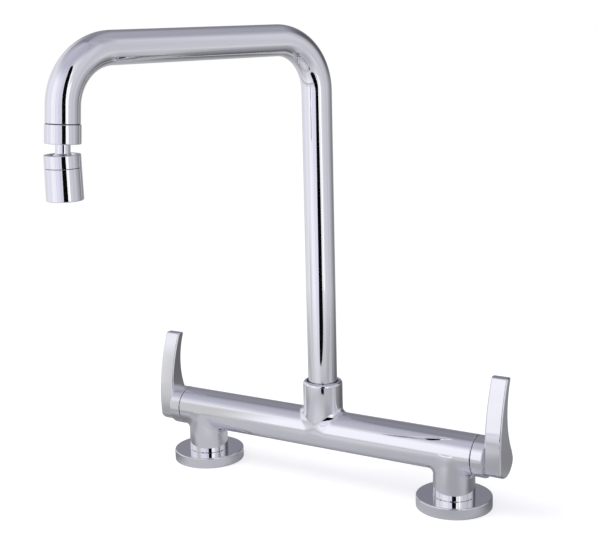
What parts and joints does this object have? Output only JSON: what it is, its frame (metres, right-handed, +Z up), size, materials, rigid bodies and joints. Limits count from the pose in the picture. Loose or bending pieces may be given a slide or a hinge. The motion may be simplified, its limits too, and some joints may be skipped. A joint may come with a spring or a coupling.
{
  "type": "bridge kitchen faucet",
  "caption": "Deck-mounted bridge kitchen faucet: horizontal mixing tube on round-flanged legs, upright lever handle at each end, tall square-arched swivel spout with a ball-jointed aerator.",
  "frame": {"origin": "on the deck plane, midway between the axes of the two inlets", "axes": "+Z up out of the deck, +X along the bridge towards the right handle, -Y towards the user, the side on which the spout reaches out over the sink"},
  "size_m": [0.2732, 0.2225, 0.3741],
  "materials": {
    "chrome": "polished chrome plate",
    "brass": "machined brass",
    "steel": "plain stainless steel",
    "black_rubber": "matt rubber",
    "ceramic": "lapped ceramic",
    "white_plastic": "moulded acetal",
    "black_plastic": "moulded acetal",
    "green_plastic": "moulded plastic"
  },
  "bodies": {
    "faucet_body": {"bridge_body": "chrome", "left_flange": "chrome", "right_flange": "chrome", "left_base_gasket": "black_rubber", "right_base_gasket": "black_rubber", "left_shank": "brass", "right_shank": "brass", "left_rubber_washer": "black_rubber", "right_rubber_washer": "black_rubber", "left_steel_washer": "steel", "right_steel_washer": "steel", "left_lock_nut": "brass", "right_lock_nut": "brass", "left_valve_body": "brass", "right_valve_body": "brass", "left_valve_oring": "black_rubber", "right_valve_oring": "black_rubber", "left_seat_seal": "black_rubber", "right_seat_seal": "black_rubber", "left_fixed_disc": "ceramic", "right_fixed_disc": "ceramic"},
    "left_lever": {"left_handle": "chrome", "left_grub_screw": "steel", "left_spindle": "brass", "left_moving_disc": "ceramic", "left_spindle_oring": "black_rubber"},
    "right_lever": {"right_handle": "chrome", "right_grub_screw": "steel", "right_spindle": "brass", "right_moving_disc": "ceramic", "right_spindle_oring": "black_rubber"},
    "spout": {"spout_tube": "chrome", "spout_ferrule": "chrome", "spout_bush": "brass", "bush_orings": "black_rubber", "retaining_ring": "brass", "slip_ring": "black_plastic", "spout_collar": "chrome", "collar_gasket": "black_rubber", "stem_seal": "black_rubber"},
    "outlet_stem": {"ball_stem": "chrome"},
    "outlet": {"ball_ring": "chrome", "ball_seal": "black_rubber", "aerator_shell": "chrome", "flow_regulator": "green_plastic", "strainer": "steel", "aerator_insert": "white_plastic"}
  },
  "joints": [
    {"name": "left_handle_turn", "type": "hinge", "parent": "faucet_body", "child": "left_lever", "pos_m": [-0.117, 0, 0.0382], "axis": [1, 0, 0], "range_deg": [0, 90]},
    {"name": "right_handle_turn", "type": "hinge", "parent": "faucet_body", "child": "right_lever", "pos_m": [0.117, 0, 0.0382], "axis": [1, 0, 0], "range_deg": [0, 90]},
    {"name": "spout_swivel", "type": "hinge", "parent": "faucet_body", "child": "spout", "pos_m": [0, 0, 0.06], "axis": [0, 0, 1], "continuous": true},
    {"name": "stem_spin", "type": "hinge", "parent": "spout", "child": "outlet_stem", "pos_m": [-0.05972, -0.18602, 0.24537], "axis": [-0.0224, -0.0697, -0.9973], "continuous": true},
    {"name": "outlet_tilt", "type": "hinge", "parent": "outlet_stem", "child": "outlet", "pos_m": [-0.05972, -0.18602, 0.24537], "axis": [0.9521, -0.3057, 0], "range_deg": [-15, 15]}
  ]
}
